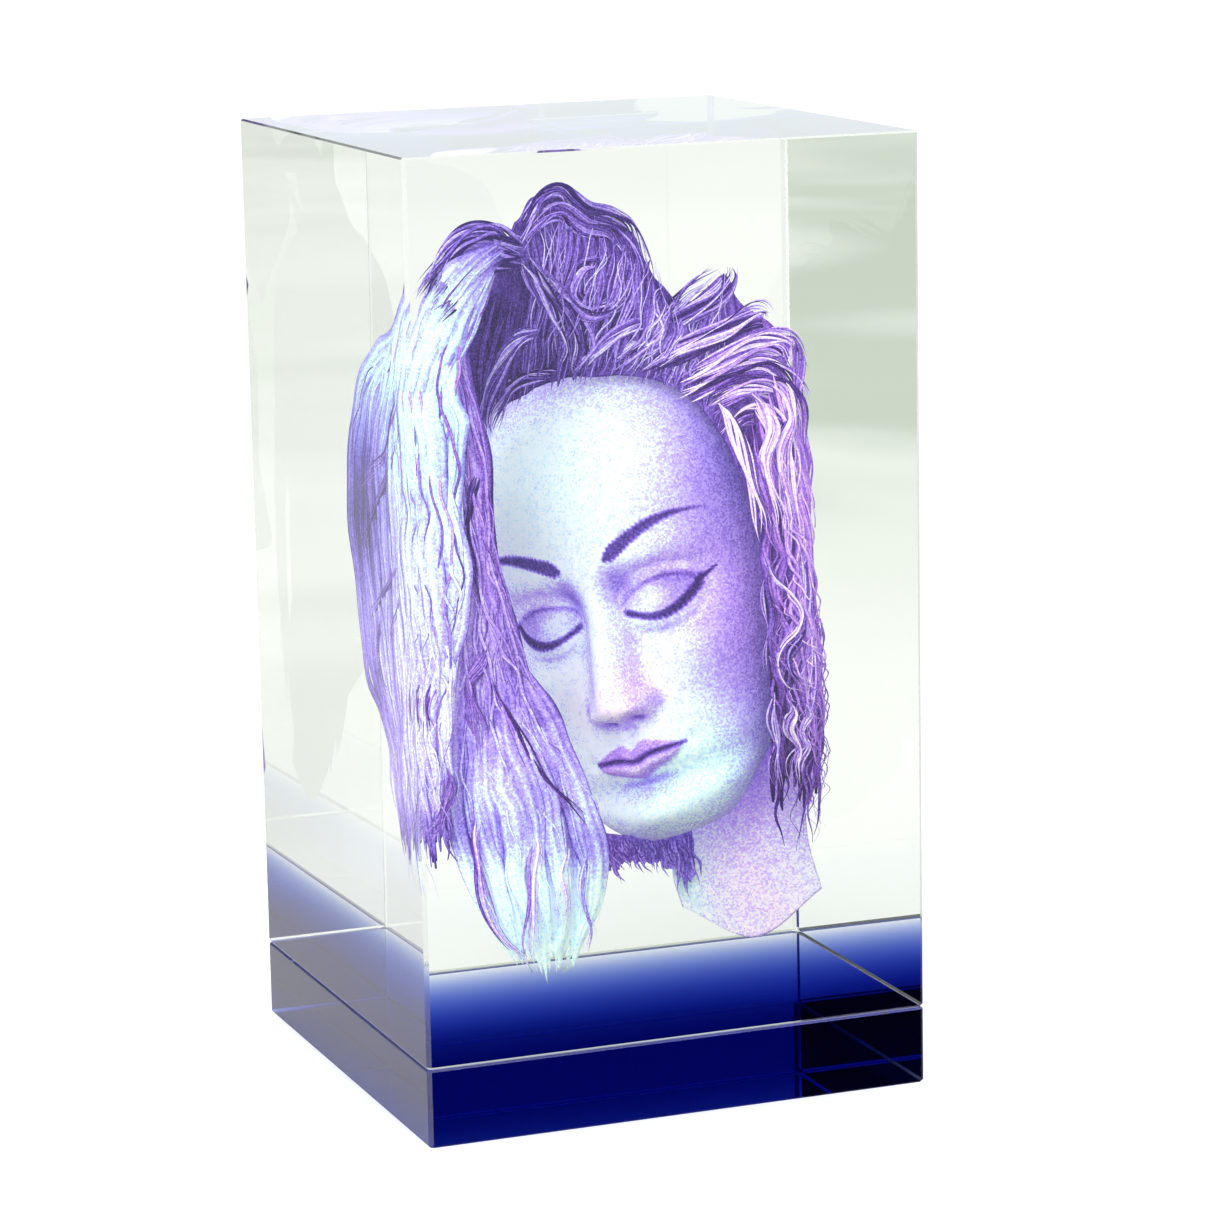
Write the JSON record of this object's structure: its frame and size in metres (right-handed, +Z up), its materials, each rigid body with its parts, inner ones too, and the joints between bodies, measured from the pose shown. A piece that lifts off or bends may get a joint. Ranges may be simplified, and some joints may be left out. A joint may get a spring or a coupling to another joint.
{
  "type": "laser-engraved photo crystal",
  "caption": "Upright clear crystal block bonded onto a thin blue crystal base, with a portrait bust engraved inside the glass.",
  "frame": {"origin": "centre of the base slab's underside, on the surface that the ornament stands on", "axes": "+Z up along the block's height, -Y towards the viewer out of the front face, +X to the viewer's right"},
  "size_m": [0.06, 0.06, 0.109],
  "materials": {
    "clear_crystal": "polished optical crystal, very faint green tint",
    "blue_crystal": "polished cobalt blue crystal",
    "bond_adhesive": "cured clear optical adhesive, shows as a pale line at the edge",
    "engraving_face": "fine bright micro-fractures in the glass, pale blue with violet shading",
    "engraving_neck": "fine micro-fractures in the glass, violet with pink and pale blue",
    "engraving_hair_dark": "fine micro-fractures in the glass, deep violet strands",
    "engraving_hair_pale": "fine micro-fractures in the glass, pale blue strands",
    "engraving_hair_cool": "fine micro-fractures in the glass, pale blue and lavender strands",
    "engraving_hair_pink": "fine micro-fractures in the glass, pink and violet strands"
  },
  "bodies": {
    "root": {"base_slab": "blue_crystal", "bond_film": "bond_adhesive", "crystal_block": "clear_crystal", "engraved_face": "engraving_face", "engraved_neck": "engraving_neck", "engraved_hair_crown": "engraving_hair_dark", "engraved_hair_sweep": "engraving_hair_pale", "engraved_hair_curtain": "engraving_hair_cool", "engraved_hair_side": "engraving_hair_pink"}
  },
  "joints": []
}
